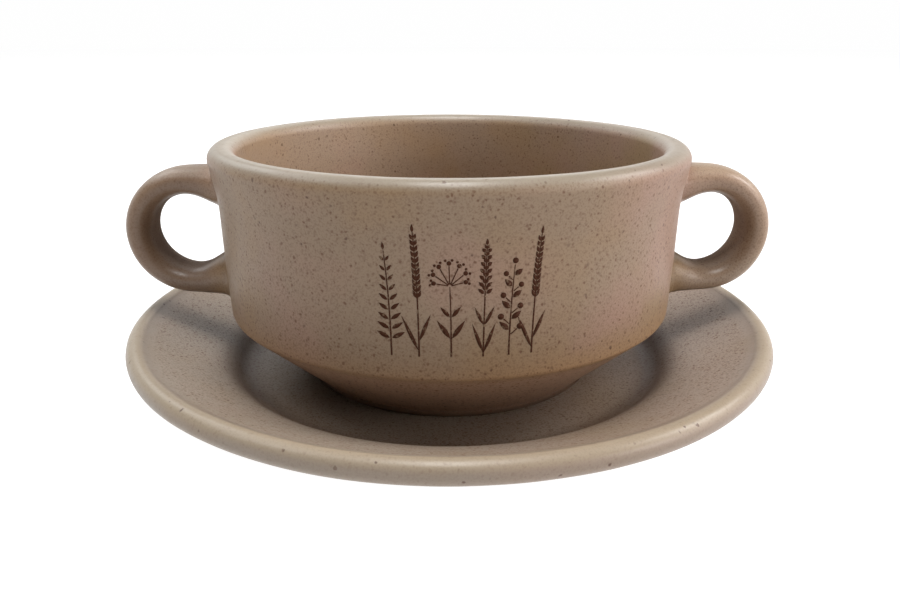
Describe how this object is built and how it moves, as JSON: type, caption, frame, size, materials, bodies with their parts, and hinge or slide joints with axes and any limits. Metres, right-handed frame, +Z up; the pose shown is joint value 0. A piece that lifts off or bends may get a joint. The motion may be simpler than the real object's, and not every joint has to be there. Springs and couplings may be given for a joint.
{
  "type": "soup cup with saucer",
  "caption": "Stackable stoneware soup cup with ear handles and a rolled lip, standing loose in the well of a deep saucer with a rolled edge.",
  "frame": {"origin": "bottom centre of the saucer's foot ring, on the axis of the cup", "axes": "+Z up along the common axis of cup and saucer, X through the two handles, -Y the front"},
  "size_m": [0.1668, 0.165, 0.0667],
  "materials": {
    "saucer_glaze": "satin speckled beige stoneware glaze, paler on the rolled edge, bare clay under the foot ring",
    "cup_glaze": "satin speckled beige stoneware glaze, paler on the lip, bare clay under the foot ring",
    "handle_glaze": "satin speckled beige stoneware glaze",
    "slip_glaze": "slip joint wiped smooth under the same satin glaze"
  },
  "bodies": {
    "saucer": {"saucer": "saucer_glaze"},
    "cup": {"cup_body": "cup_glaze", "left_handle": "handle_glaze", "right_handle": "handle_glaze", "left_upper_slip": "slip_glaze", "left_lower_slip": "slip_glaze", "right_upper_slip": "slip_glaze", "right_lower_slip": "slip_glaze"}
  },
  "joints": [
    {"name": "cup_lift", "type": "slide", "parent": "saucer", "child": "cup", "axis": [0, 0, 1], "range_m": [0, 0.1]}
  ]
}
